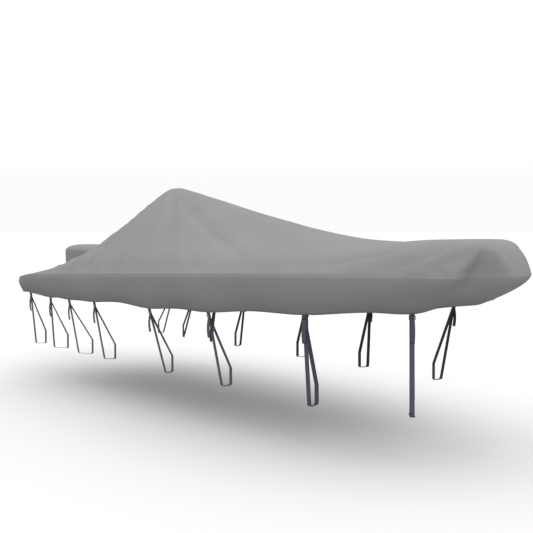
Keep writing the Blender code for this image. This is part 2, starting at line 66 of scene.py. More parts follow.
# height of the ridge over the ground, stern to bow
RIDGE = [  # x, z
    (0.00, 1.460), (0.30, 1.585), (0.67, 1.755), (1.02, 1.915), (1.30, 2.030),
    (1.58, 2.134), (1.69, 2.142), (1.79, 2.136), (2.28, 2.032), (3.05, 1.866),
    (3.70, 1.733), (4.15, 1.655), (4.38, 1.628), (4.70, 1.610), (4.95, 1.606),
    (5.20, 1.622), (5.40, 1.636),
]
# the bend between top and skirt: its upper edge, and the height of the band under it
BEND = [  # x, z, band
    (0.00, 1.168, 0.047), (0.35, 1.212, 0.046), (4.90, 1.396, 0.031),
    (5.40, 1.408, 0.030), (5.88, 1.412, 0.040),
]
# power of the fall from ridge to bend: 1 is a straight tent, more is a plateau
SPREAD = [  # x of the bend, power to starboard, power to port
    (0.00, 0.44, 0.44), (0.40, 0.53, 0.55), (0.80, 0.74, 0.74), (1.20, 0.88, 0.88),
    (1.70, 1.00, 1.00), (3.00, 1.12, 1.12), (4.00, 1.60, 1.60), (4.50, 2.20, 2.40),
    (4.90, 3.00, 4.00), (5.30, 4.20, 7.00), (5.60, 5.60, 9.00), (5.75, 8.50, 7.50),
    (5.83, 10.0, 5.50), (5.88, 6.50, 6.50),
]
# edge of the skirt: low where a tie pulls, higher between two ties
HEM = [  # x of the bend, z to starboard, z to port, tuck under the bend
    (0.00, 1.000, 1.000, 0.045), (0.12, 0.998, 1.004, 0.075),
    (0.64, 0.967, 0.972, 0.090), (0.86, 0.975, 0.986, 0.090),
    (1.08, 0.970, 0.974, 0.090), (1.36, 0.978, 0.990, 0.090),
    (1.63, 0.980, 0.982, 0.090), (2.15, 1.009, 1.012, 0.088),
    (2.68, 0.988, 0.994, 0.090), (3.16, 1.018, 1.026, 0.092),
    (3.62, 1.021, 1.024, 0.094), (4.20, 1.070, 1.066, 0.098),
    (4.76, 1.079, 1.084, 0.108), (5.26, 1.116, 1.134, 0.165),
    (5.58, 1.108, 1.164, 0.262), (5.76, 1.140, 1.160, 0.330),
    (5.88, 1.150, 1.150, 0.345),
]
# the stern edge falls from the motor hood to the two corners
STERN_EDGE = [  # y, z
    (0.00, 1.460), (0.12, 1.400), (0.26, 1.335), (0.485, 1.270), (0.695, 1.215),
    (0.88, 1.180), (1.05, 1.168),
]

# folds of the drawn sheet: a soft ridge, or a trough where the height is negative
FOLDS = [  # width, height, the points of the sheet that it runs through
    # from the peak down to the starboard bend, the foremost first
    (0.055, -0.010, ((1.71, -0.07, 2.10), (2.20, -0.38, 1.80), (2.42, -0.62, 1.61))),
    (0.065, 0.010, ((1.70, -0.10, 2.09), (2.00, -0.47, 1.77), (2.12, -1.00, 1.31))),
    (0.060, -0.009, ((1.66, -0.10, 2.09), (1.70, -0.43, 1.82), (1.78, -0.98, 1.34))),
    (0.060, 0.010, ((1.58, -0.12, 2.05), (1.48, -0.55, 1.68), (1.60, -1.00, 1.29))),
    (0.055, -0.012, ((1.30, -0.55, 1.66), (1.39, -0.80, 1.45), (1.46, -1.02, 1.29))),
    (0.055, 0.015, ((1.02, -0.20, 1.83), (1.02, -0.68, 1.46), (1.22, -1.02, 1.27))),
    (0.055, -0.015, ((0.86, -0.30, 1.68), (0.80, -0.80, 1.36), (0.96, -1.02, 1.25))),
    (0.050, 0.013, ((0.60, -0.30, 1.55), (0.56, -0.80, 1.29), (0.70, -1.02, 1.23))),
    # long ones, from the peak towards the bow
    (0.045, -0.007, ((1.86, -0.10, 2.05), (2.81, -0.42, 1.72), (4.10, -0.88, 1.45))),
    (0.070, 0.008, ((2.10, -0.06, 2.03), (3.00, -0.34, 1.74), (3.90, -0.66, 1.53))),
    # the port side
    (0.060, -0.015, ((1.58, 0.10, 2.07), (1.30, 0.45, 1.74), (1.12, 0.98, 1.27))),
    (0.060, 0.016, ((1.66, 0.12, 2.07), (1.86, 0.52, 1.75), (1.92, 1.00, 1.31))),
    (0.070, -0.018, ((1.84, 0.10, 2.05), (2.60, 0.45, 1.76), (3.60, 0.92, 1.42))),
    (0.055, 0.014, ((0.62, 0.50, 1.42), (0.76, 0.78, 1.33), (0.90, 1.02, 1.24))),
    # round the point of the bow
    (0.050, 0.012, ((5.76, -0.16, 1.61), (5.76, -0.32, 1.57), (5.69, -0.49, 1.49),
                    (5.54, -0.69, 1.40))),
    (0.050, -0.004, ((5.79, -0.28, 1.55), (5.74, -0.42, 1.49), (5.64, -0.58, 1.42))),
    (0.048, 0.016, ((5.60, -0.35, 1.58), (5.54, -0.58, 1.53), (5.30, -0.77, 1.46),
                    (5.14, -0.86, 1.42))),
    (0.040, -0.010, ((5.42, -0.62, 1.55), (5.24, -0.74, 1.51), (4.90, -0.88, 1.44))),
    (0.036, 0.005, ((5.80, -0.33, 1.49), (5.77, -0.42, 1.45), (5.73, -0.50, 1.40))),
    (0.034, 0.007, ((5.80, -0.08, 1.59), (5.82, -0.03, 1.52), (5.86, 0.04, 1.41))),
    (0.055, -0.014, ((5.66, 0.18, 1.59), (5.64, 0.45, 1.54), (5.58, 0.65, 1.43))),
    (0.055, 0.015, ((5.50, 0.45, 1.61), (5.36, 0.70, 1.53), (5.14, 0.88, 1.42))),
]
FOLD_RUN_OUT = 0.14      # share of its length over which a fold fades at each end
FOLD_GROWTH = 0.7        # how much wider a fold is at its foot than at its head
FOLD_REACH = 3.0         # a fold is felt as far as this many of its widths away
FOLD_SOFT, FOLD_CRISP = 2.0, 1.3     # powers of the profiles of folds and of creases

# the sheet hangs in a hollow under the point of the bow
BOW_HOLLOW = [  # z, middle y, half width, depth
    (1.120, -0.19, 0.30, 0.000), (1.170, -0.19, 0.30, 0.050), (1.280, -0.19, 0.30, 0.132),
    (1.330, -0.19, 0.30, 0.154), (1.380, -0.18, 0.28, 0.146), (1.430, -0.17, 0.24, 0.116),
    (1.470, -0.16, 0.20, 0.088), (1.530, -0.15, 0.135, 0.045), (1.580, -0.14, 0.060, 0.010),
    (1.605, -0.14, 0.03, 0.000),
]

# ---- finer creases, which only the dressed sheet has ---------------------------------
CREASES = [  # width, height, the points of the sheet that it runs through
    # the crisp one over the point of the bow, and the shaded facet under it
    (0.020, -0.006, ((5.72, -0.34, 1.605), (5.69, -0.42, 1.570), (5.635, -0.535, 1.515),
                     (5.575, -0.615, 1.480), (5.515, -0.68, 1.440))),
    (0.018, 0.006, ((5.745, -0.335, 1.585), (5.71, -0.435, 1.545), (5.65, -0.545, 1.495),
                    (5.59, -0.625, 1.455), (5.54, -0.685, 1.415))),
    (0.020, -0.003, ((5.77, -0.32, 1.55), (5.74, -0.42, 1.505), (5.65, -0.57, 1.44))),
    # short upright ones in the hollow under its apex
    (0.014, 0.005, ((5.81, -0.17, 1.58), (5.81, -0.185, 1.53), (5.79, -0.17, 1.46))),
    (0.014, 0.005, ((5.81, -0.13, 1.58), (5.80, -0.115, 1.53), (5.80, -0.10, 1.46))),
    # faint upright ones on the port side of the point
    (0.018, 0.004, ((5.82, 0.08, 1.56), (5.85, 0.10, 1.50), (5.87, 0.12, 1.43))),
    (0.018, -0.004, ((5.79, 0.18, 1.57), (5.83, 0.20, 1.50), (5.85, 0.22, 1.43))),
    # over the starboard bow, from its point down to the bend
    (0.016, -0.006, ((5.62, -0.49, 1.57), (5.53, -0.61, 1.53), (5.41, -0.71, 1.50),
                     (5.28, -0.80, 1.465), (5.14, -0.87, 1.43))),
    (0.018, 0.006, ((5.76, -0.34, 1.48), (5.74, -0.44, 1.44), (5.72, -0.50, 1.41))),
    # the long one from the peak towards the bow
    (0.018, -0.009, ((2.02, -0.15, 2.00), (2.33, -0.26, 1.89), (2.81, -0.42, 1.72),
                     (3.22, -0.55, 1.62), (3.62, -0.69, 1.53), (4.11, -0.88, 1.45))),
    # short ones from the peak
    (0.020, -0.009, ((1.74, -0.08, 2.10), (1.90, -0.22, 1.94), (2.20, -0.38, 1.80))),
    (0.020, -0.008, ((1.66, -0.14, 2.06), (1.66, -0.32, 1.91), (1.70, -0.52, 1.74))),
    (0.018, 0.006, ((1.80, -0.12, 2.06), (2.00, -0.36, 1.86), (2.06, -0.62, 1.64))),
    # short crisp ones where the sheet gathers at the stern corner
    (0.018, 0.007, ((1.14, -0.76, 1.44), (1.08, -0.86, 1.36), (1.03, -0.96, 1.29))),
    (0.018, -0.007, ((1.29, -0.70, 1.50), (1.31, -0.85, 1.40), (1.33, -1.00, 1.29))),
    (0.020, 0.007, ((1.85, -0.82, 1.47), (1.76, -0.94, 1.37), (1.69, -1.04, 1.28))),
    (0.020, -0.007, ((1.60, -0.48, 1.77), (1.60, -0.72, 1.57), (1.62, -0.94, 1.37))),
    (0.018, 0.006, ((1.68, -0.32, 1.88), (1.66, -0.44, 1.79), (1.65, -0.56, 1.69))),
]
# creases that fan out from the peak to the bend
FAN_HEIGHT, FAN_PITCH = 0.0190, 0.045      # a metre from the peak; radians apart
FAN_CHANGE, FAN_SEED = 1.1, 3.7            # how fast one changes outwards; which pattern
FAN_NEAR, FAN_FAR, FAN_END = 0.25, 1.6, 2.8     # metres to full, to fading, to nothing
FAN_HUB = FAN_NEAR / 4                     # none closer to the peak than this
FAN_AHEAD, FAN_TURN = 0.30, 0.70           # share left ahead of the peak, and metres to it
FAN_CALM, FAN_SETTLE = 0.22, 0.45          # none this near the stern, all so much further on
FAN_RISE = 0.05                            # they grow from nothing over this above the bend
SAG_HEIGHT, SAG_SIZE = 0.004, 0.60         # slow unevenness of the whole sheet
# the skirt is drawn into short upright folds over each tie
PULL_HEIGHT, PULL_WIDTH, PULL_RISE = 0.003, 0.050, 0.18
PULL_BESIDE, PULL_SHARE = 1.7, 0.5         # widths to the swell beside one; its share
PULL_REACH = 3           # widths

# motor hood: a pocket sewn to the stern edge
HOOD_AFT, HOOD_FORE, HOOD_HALF_WIDTH = -0.63, 0.20, 0.235
HOOD_TOP, HOOD_HEM = 1.522, 0.940
HOOD_SQUARENESS = 3.2    # power of its outline, seen from above
HOOD_CROWN = 0.085       # its top is this much higher than its shoulder
HOOD_ROUND = 0.55        # power of the shoulder's round
HOOD_WALL, HOOD_TAPER = 0.45, 0.07   # share of its grid in the wall; hem taken in
HOOD_DENTS = (0.005, 4.0, 2.5, 0.0)  # height; how often across and upwards; which pattern
HOOD_DRAG = (0.003, 9.0, 1.5, 5.0)   # the same, of its upright drag lines
TRIM_REACH = 0.35        # the two sheets are compared with each other within this
HOOD_NO_BEND = 1.0       # metres: the hood has no bend for a row of stitches to follow

# ---- webbing and buckles -------------------------------------------------------------
# sewn inside the hem, led down, round in a long loop and back up through a buckle
WEB_WIDTH, WEB = 0.038, 0.0015
Tie = namedtuple("Tie", "name x outer_x inner_x reach")
# name, x of the bend over it, x of its outer and inner leg below, y of the loop
PAIRED_TIES = [
    Tie("stern", 0.16, 0.05, 0.09, 0.86), Tie("one", 0.64, 0.52, 0.65, 0.86),
    Tie("two", 1.08, 1.10, 1.22, 0.86), Tie("three", 1.63, 1.66, 1.70, 0.86),
    Tie("four", 2.68, 2.80, 2.76, 0.86), Tie("five", 3.61, 3.67, 3.66, 0.86),
]
STARBOARD_TIES = PAIRED_TIES + [
    Tie("six", 4.76, 4.77, 4.74, 0.86), Tie("seven", 5.58, 5.51, 5.42, 0.56),
]
PORT_TIES = PAIRED_TIES + [Tie("six", 4.70, 4.57, 4.57, 0.86)]
LOOP_TOP, LOOP_BOTTOM, LOOP_WIDTH = 0.545, 0.400, 0.100      # the loop's square foot
LOOP_CORNER = 0.010      # the webbing rounds the corners of the foot by this
TAIL, TAIL_SWAY = 0.16, 0.010        # free end under the buckle; its middle stands out
TAB_DROP = 0.006         # a tab turns towards its buckle this far under the hem
TAB_ABOVE, TAB_BELOW = 0.040, 0.010  # its reach over and under that turn
TAB_CLEAR = 0.0030       # room between the skirt and a tab
TAB_SPAN = 0.25          # share of the skirt's height that a tab is laid along
BUCKLE = 0.004
BUCKLE_BARS = (0.005, 0.007, 0.008, 0.010, 0.005)   # bar, slot, bar, slot, bar
BUCKLE_STRAIGHT = 0.012  # webbing runs straight this far before it bends at a bar
BUCKLE_PASS = 0.052      # the inner leg runs behind the buckle this far from the turn
BUCKLE_EDGE = 0.0007     # rounding of its edges
BUCKLE_FLAT = math.radians(2)        # its faces that meet at less become one
BUCKLE_SHARP = math.radians(40)      # its edges that turn by more are rounded
BUCKLE_SHADED = math.radians(35)     # those that turn by more are shaded as edges

# ---- mesh density --------------------------------------------------------------------
STERN_ROWS, CORNER_ROWS = 20, 6
SIDE_ROWS = [(0, 0.06), (14, 0.36), (130, 2.30), (168, 3.90)]     # row, x
BOW_ROWS = [(0, 0.0), (38, 38.0), (148, 90.0)]                   # row, degrees
TOP_COLUMNS, BAND_COLUMNS, SKIRT_COLUMNS = 46, 3, 14
BEND_COLUMN = SKIRT_COLUMNS + BAND_COLUMNS
TOP_SPACING = 1.25       # the columns of the top crowd towards the bend
HOOD_AROUND, HOOD_UP = 96, 36
LEG_STEPS, TURN_STEPS, TAIL_STEPS, WEB_COLUMNS = 12, 8, 8, 4
MERGE = 0.0001           # points of a grid that lie this close become one


def along(table, x, column=1):
    """Read a column of a table at x, on a smooth curve through its rows."""
    if x <= table[0][0]:
        return table[0][column]
    if x >= table[-1][0]:
        return table[-1][column]
    k = max(i for i in range(len(table) - 1) if table[i][0] <= x)

    def slope(i):
        before, after = table[max(i - 1, 0)], table[min(i + 1, len(table) - 1)]
        return (after[column] - before[column]) / (after[0] - before[0])

    x0, x1 = table[k][0], table[k + 1][0]
    y0, y1 = table[k][column], table[k + 1][column]
    step = x1 - x0
    u = (x - x0) / step
    return (y0 * (1 + 2 * u) * (1 - u) ** 2 + y1 * u * u * (3 - 2 * u)
            + slope(k) * step * u * (1 - u) ** 2 - slope(k + 1) * step * u * u * (1 - u))


def smooth(u):
    """0 to 1 with level ends."""
    u = min(max(u, 0.0), 1.0)
    return u * u * (3 - 2 * u)


# ---- shape of the sheet --------------------------------------------------------------
def bow_point(a):
    """Point and outward normal of the bend line round the bow, a from 0 to 90 degrees."""
    reach = LENGTH - BOW_START
    u = math.sin(a) ** (2 / BOW_ALONG)
    v = max(math.cos(a), 0.0) ** (2 / BOW_ACROSS)
    normal = Vector((BOW_ALONG * u ** (BOW_ALONG - 1) / reach,
                     BOW_ACROSS * v ** (BOW_ACROSS - 1) / HALF_BEAM))
    return Vector((BOW_START + reach * u, HALF_BEAM * v)), normal.normalized()


def bend_at(x):
    """Point of the bend line at x, and its outward normal, on the port side."""
    if x <= BOW_START:
        return Vector((x, HALF_BEAM)), Vector((0.0, 1.0))
    share = (x - BOW_START) / (LENGTH - BOW_START)
    return bow_point(math.asin(share ** (BOW_ALONG / 2)))


def bend_points():
    """Plan points of the bend line, centre of the stern to the bow, and normals."""
    points = []
    for k in range(STERN_ROWS):
        y = (HALF_BEAM - CORNER_RADIUS) * k / STERN_ROWS
        points.append((Vector((0.0, y)), Vector((-1.0, 0.0))))
    for k in range(CORNER_ROWS):
        a = math.pi / 2 * k / CORNER_ROWS
        out = Vector((-math.cos(a), math.sin(a)))
        centre = Vector((CORNER_RADIUS, HALF_BEAM - CORNER_RADIUS))
        points.append((centre + out * CORNER_RADIUS, out))
    for k in range(SIDE_ROWS[-1][0]):
        points.append((Vector((along(SIDE_ROWS, k), HALF_BEAM)), Vector((0.0, 1.0))))
    for k in range(BOW_ROWS[-1][0] + 1):
        points.append(bow_point(math.radians(along(BOW_ROWS, k))))
    return points


def edge_height(point):
    """Height of the bend's upper edge."""
    height = along(BEND, point.x)
    if point.x < CORNER_RADIUS:
        rise = along(STERN_EDGE, point.y) - STERN_EDGE[-1][1]
        height += rise * (1 - smooth(point.x / CORNER_RADIUS))
    return height


def distance_along(point, corners, lengths):
    """Distance from a point to a line of points, and where along it that is, 0 to 1."""
    best, run_so_far, total = (math.inf, 0.0), 0.0, sum(lengths)
    for a, b, length in zip(corners, corners[1:], lengths):
        run = b - a
        u = min(max((point - a).dot(run) / (length * length), 0.0), 1.0)
        away = (point - a - run * u).length
        if away < best[0]:
            best = (away, (run_so_far + u * length) / total)
        run_so_far += length
    return best


def fold_lines(table, power):
    """Prepare a table of folds: width, height, power of its profile, points, lengths."""
    lines = []
    for width, height, places in table:
        corners = [Vector(place) for place in places]
        lengths = [(b - a).length for a, b in zip(corners, corners[1:])]
        middle = sum(corners, Vector()) / len(corners)
        reach = max((corner - middle).length for corner in corners)
        reach += FOLD_REACH * width * (1 + FOLD_GROWTH / 2)
        lines.append((width, height, power, corners, lengths, middle, reach))
    return lines


def fold_height(point, lines):
    """Sum of the folds at a place; power 2 is a soft fold, less is a crisp one."""
    total = 0.0
    for width, height, power, corners, lengths, middle, reach in lines:
        if (point - middle).length > reach:
            continue
        nearest, share = distance_along(point, corners, lengths)
        away = nearest / (width * (1 - FOLD_GROWTH / 2 + FOLD_GROWTH * share))
        if away < FOLD_REACH:
            fade = smooth(share / FOLD_RUN_OUT) * smooth((1 - share) / FOLD_RUN_OUT)
            total += height * fade * math.exp(-away ** power)
    return total


def fan_height(point):
    """Thin creases that radiate from the peak."""
    reach = Vector((point.x - ORIGIN.x, point.y))
    if reach.length < FAN_HUB:
        return 0.0
    turn = math.atan2(reach.y, reach.x) / FAN_PITCH
    near = smooth((reach.length - FAN_HUB) / FAN_NEAR)
    far = 1 - smooth((reach.length - FAN_FAR) / (FAN_END - FAN_FAR))
    aft = 1 - (1 - FAN_AHEAD) * smooth(reach.x / FAN_TURN)
    calm = smooth((point.x - FAN_CALM) / FAN_SETTLE)
    fan = noise.noise(Vector((turn, reach.length * FAN_CHANGE, FAN_SEED)))
    return FAN_HEIGHT * reach.length * fan * near * far * aft * calm


def sag_height(point):
    """Slow unevenness of the whole sheet."""
    return SAG_HEIGHT * noise.noise(point / SAG_SIZE)


def pull_height(point):
    """Upright folds of the skirt, over each tie."""
    ties = STARBOARD_TIES if point.y < 0 else PORT_TIES
    total = 0.0
    for tie in ties:
        away = (point.x - tie.x) / PULL_WIDTH
        if abs(away) > PULL_REACH:
            continue
        rise = point.z - along(HEM, tie.x, 1 if point.y < 0 else 2)
        low = 1 - smooth(rise / PULL_RISE)
        beside = PULL_SHARE * math.exp(-(abs(away) - PULL_BESIDE) ** 2)
        total += low * (math.exp(-away * away) - beside)
    return -PULL_HEIGHT * total


def hollow(point):
    """How far the sheet is drawn back under the point of the bow."""
    if point.x < SPINE_FORE:
        return 0.0
    middle, half = along(BOW_HOLLOW, point.z), along(BOW_HOLLOW, point.z, 2)
    return along(BOW_HOLLOW, point.z, 3) * (1 - smooth(abs(point.y - middle) / half))


def skirt_point(bend, outward, fall, side):
    """Point of the skirt; fall is 0 at the foot of the band and 1 at the hem."""
    top = edge_height(bend) - along(BEND, bend.x, 2)
    hem_z = along(HEM, bend.x, 1 if side < 0 else 2)
    tuck = along(HEM, bend.x, 3) * fall ** SKIRT_CURVE
    plan = bend + outward * (BAND_FLARE - tuck)
    return Vector((plan.x, plan.y, top + (hem_z - top) * fall))


def band_point(bend, outward, fall):
    """Point of the band; fall is 0 at the bend and 1 at its foot."""
    lean = BAND_LEAN * fall / BAND_MIDDLE
    if fall > BAND_MIDDLE:
        lean = BAND_LEAN + (1 - BAND_LEAN) * (fall - BAND_MIDDLE) / (1 - BAND_MIDDLE)
    plan = bend + outward * BAND_FLARE * lean
    return Vector((plan.x, plan.y, edge_height(bend) - along(BEND, bend.x, 2) * fall))


def top_point(bend, share, side):
    """Point of the top, straight from the bend line, share 1, to the ridge, share 0."""
    spine = Vector((min(max(bend.x, SPINE_AFT), SPINE_FORE), 0.0))
    plan = spine.lerp(bend, share)
    soft = math.hypot(share, RIDGE_SOFTNESS) - RIDGE_SOFTNESS
    soft /= math.hypot(1, RIDGE_SOFTNESS) - RIDGE_SOFTNESS
    power = along(SPREAD, bend.x, 1 if side < 0 else 2)
    edge, ridge = edge_height(bend), along(RIDGE, spine.x)
    return Vector((plan.x, plan.y, edge + (ridge - edge) * (1 - soft ** power)))


def cover_point(bend, outward, side, column):
    """Point of the sheet; column runs from the hem, 0, to the ridge, the last."""
    if column <= SKIRT_COLUMNS:
        point = skirt_point(bend, outward, 1 - column / SKIRT_COLUMNS, side)
    elif column < BEND_COLUMN:
        point = band_point(bend, outward, 1 - (column - SKIRT_COLUMNS) / BAND_COLUMNS)
    else:
        inward = (column - BEND_COLUMN) / TOP_COLUMNS
        point = top_point(bend, 1 - inward ** TOP_SPACING, side)
    point.y *= side
    point.x -= hollow(point)
    return point


def hood_point(angle, rise):
    """Point of the motor hood; rise runs from its hem, 0, to the middle of its top, 1."""
    power = 2 / HOOD_SQUARENESS
    c, s = math.cos(angle), math.sin(angle)
    x = math.copysign(abs(c) ** power, c)
    y = math.copysign(abs(s) ** power, s)
    shoulder = HOOD_TOP - HOOD_CROWN
    if rise < HOOD_WALL:
        size = 1 - HOOD_TAPER * (1 - smooth(rise / HOOD_WALL))
        z = HOOD_HEM + (shoulder - HOOD_HEM) * rise / HOOD_WALL
    else:
        a = math.pi / 2 * (rise - HOOD_WALL) / (1 - HOOD_WALL)
        size = math.cos(a) ** HOOD_ROUND
        z = shoulder + HOOD_CROWN * math.sin(a)
    middle, reach = (HOOD_AFT + HOOD_FORE) / 2, (HOOD_FORE - HOOD_AFT) / 2
    return Vector((middle + reach * size * x, HOOD_HALF_WIDTH * size * y, z))


# ---- ties ----------------------------------------------------------------------------
Place = namedtuple("Place", "origin up across face leg out corner")


def tie_place(tie, side):
    """Where a tie leaves the hem: a point in its buckle's plane, and its directions.

    They point up the skirt, across the webbing, out of the skirt's face, up the tie's
    outer leg and out of the buckle's face. The corner lies between the two faces, and is
    long enough to keep layers of webbing parallel round the turn from one to the other.
    """
    hem = skirt_point(*bend_at(tie.x), 1.0, side)
    up = (skirt_point(*bend_at(tie.x), 1 - TAB_SPAN, side) - hem).normalized()
    along_hem = (skirt_point(*bend_at(tie.x + WEB_WIDTH), 1.0, side)
                 - skirt_point(*bend_at(tie.x - WEB_WIDTH), 1.0, side)).normalized()
    face = up.cross(along_hem).normalized()
    origin = hem - up * TAB_DROP - face * (CLOTH + TAB_CLEAR + WEB + GAP + BUCKLE / 2)
    leg = (origin - Vector((tie.outer_x, tie.reach, LOOP_BOTTOM))).normalized()
    across = (along_hem - leg * leg.dot(along_hem)).normalized()
    out = leg.cross(across)
    return Place(origin, up, across, face, leg, out, (face + out) / (1 + face.dot(out)))


def round_bar(bar, start, along_bar):
    """Points of a half turn round a bar, from start over to the other side."""
    turn = []
    for k in range(TURN_STEPS + 1):
        a = math.pi * k / TURN_STEPS
        turn.append(bar + start * math.cos(a) + along_bar * math.sin(a))
    return turn


def tab_route(tie, side):
    """The tab: sewn inside the hem, down round the buckle's top bar and up again."""
    at = tie_place(tie, side)
    turn = BUCKLE / 2 + GAP + WEB / 2
    bar = at.origin - at.leg * (TAB_BELOW + BUCKLE_BARS[0])
    sewn = at.origin + at.up * TAB_ABOVE
    points = [sewn + at.face * turn, at.origin + at.corner * turn]
    points += round_bar(bar, at.out * turn, -at.leg * turn)
    points += [at.origin - at.corner * turn, sewn - at.face * turn]
    return [(point, at.across) for point in points]


def tie_route(tie, side):
    """The tie: sewn end, inner leg, foot, outer leg, through the buckle, free end."""
    at = tie_place(tie, side)
    turn = BUCKLE / 2 + GAP + WEB / 2
    behind = turn + WEB + 2 * GAP
    ahead = Vector((at.across.x, at.across.y, 0.0)).normalized()    # level, along the hem
    inner_y = tie.reach - LOOP_WIDTH
    start = at.origin - at.out * behind - at.leg * BUCKLE_PASS
    route = [(at.origin + at.up * TAB_ABOVE - at.face * behind, at.across),
             (at.origin - at.corner * behind, at.across), (start, at.across)]
    inner_top = Vector((tie.inner_x, inner_y, LOOP_TOP))
    for k in range(1, LEG_STEPS + 1):
        u = k / LEG_STEPS
        route.append((start.lerp(inner_top, u), at.across.lerp(ahead, smooth(u)).normalized()))
    for x, y, z in (
            (tie.inner_x, inner_y, LOOP_BOTTOM + LOOP_CORNER),
            (tie.inner_x, inner_y + LOOP_CORNER, LOOP_BOTTOM),
            (tie.outer_x, tie.reach - LOOP_CORNER, LOOP_BOTTOM),
            (tie.outer_x, tie.reach, LOOP_BOTTOM + LOOP_CORNER)):
        route.append((Vector((x, y, z)), ahead))
    bar = at.origin - at.leg * (TAB_BELOW + sum(BUCKLE_BARS[:4]))
    foot, end = route[-1][0], bar - at.out * turn - at.leg * BUCKLE_STRAIGHT
    for k in range(1, LEG_STEPS + 1):
        u = k / LEG_STEPS
        route.append((foot.lerp(end, u), ahead.lerp(at.across, smooth(u)).normalized()))
    route += [(point, at.across) for point in round_bar(bar, -at.out * turn, at.leg * turn)]
    below = bar + at.out * turn - at.leg * BUCKLE_STRAIGHT
    route.append((below, at.across))
    upright = Vector((0.0, 0.0, 1.0))
    lie = upright if upright.dot(at.out) < 0 else at.leg    # a leg that leans out carries it
    for k in range(1, TAIL_STEPS + 1):
        sway = TAIL_SWAY * math.sin(math.pi * k / TAIL_STEPS)
        route.append((below + at.out * sway - lie * TAIL * k / TAIL_STEPS, at.across))
    return route


def placed(point, side=1):
    """A point of the port side, or its mirror image, from the holding point."""
    return Vector((point.x, side * point.y, point.z)) - ORIGIN


# ---- materials -----------------------------------------------------------------------
def linear(code):
    """An sRGB hex colour as linear red, green, blue and alpha."""
    channels = [int(code[k:k + 2], 16) / 255 for k in (1, 3, 5)]
    return [c / 12.92 if c <= 0.04045 else ((c + 0.055) / 1.055) ** 2.4
            for c in channels] + [1.0]


def add(tree, kind, values=None, links=None, **settings):
    """Add a node with its settings, its sockets' values and its links."""
    made = tree.nodes.new(kind)
    for name, value in settings.items():
        setattr(made, name, value)
    for socket, value in (values or {}).items():
        made.inputs[socket].default_value = value
    for socket, source in (links or {}).items():
        tree.links.new(source, made.inputs[socket])
    return made


def new_material(name):
    """An empty material: its tree and its shader."""
    made = bpy.data.materials.new(name)
    made.use_nodes = True
    return made, made.node_tree, made.node_tree.nodes["Principled BSDF"]


def line_at(tree, distance, place, width):
    """1 on a line at a distance, falling softly to 0 at half its width away."""
    off = add(tree, "ShaderNodeMath", {1: place}, {0: distance}, operation="SUBTRACT")
    away = add(tree, "ShaderNodeMath", {}, {0: off.outputs[0]}, operation="ABSOLUTE")
    ramp = add(tree, "ShaderNodeMapRange", {"From Min": 0.0, "From Max": width / 2,
                                            "To Min": 1.0, "To Max": 0.0},
               {"Value": away.outputs[0]}, interpolation_type="SMOOTHSTEP")
    return ramp.outputs["Result"]


# Woven polyester with a matt coating: a dry, even grey that creases softly and shows its
# threads only close to. Its threads lie 0.5 mm apart; they are drawn 3 mm apart, so that
# a close view has them.
WEAVE_PITCH = 0.003
STITCH_PITCH = 0.008     # a stitch is 4 mm long; drawn twice that
STITCH_ROW = 0.010       # breadth of the mark that a row of stitches leaves
HEM_WIDTH = 0.030
BEND_ROWS = (0.006, -0.045)    # rows of stitches over the bend and at the foot of the band
HEM_DARKEST, HEM_DARKENING_RISE = 0.84, 0.18      # share of the colour left at the hem; metres over which it darkens to there
PAINTED_SHADE_DEPTH = 0.90         # share of the colour that is left where the painted shade over the bend is deepest
PAINTED_SHADE_RISE, PAINTED_SHADE_WIDTH = 0.12, 0.60   # that is so far over the bend, in a belt so wide
WAVE_PERIOD = math.pi / 10     # of a Wave texture at scale 1


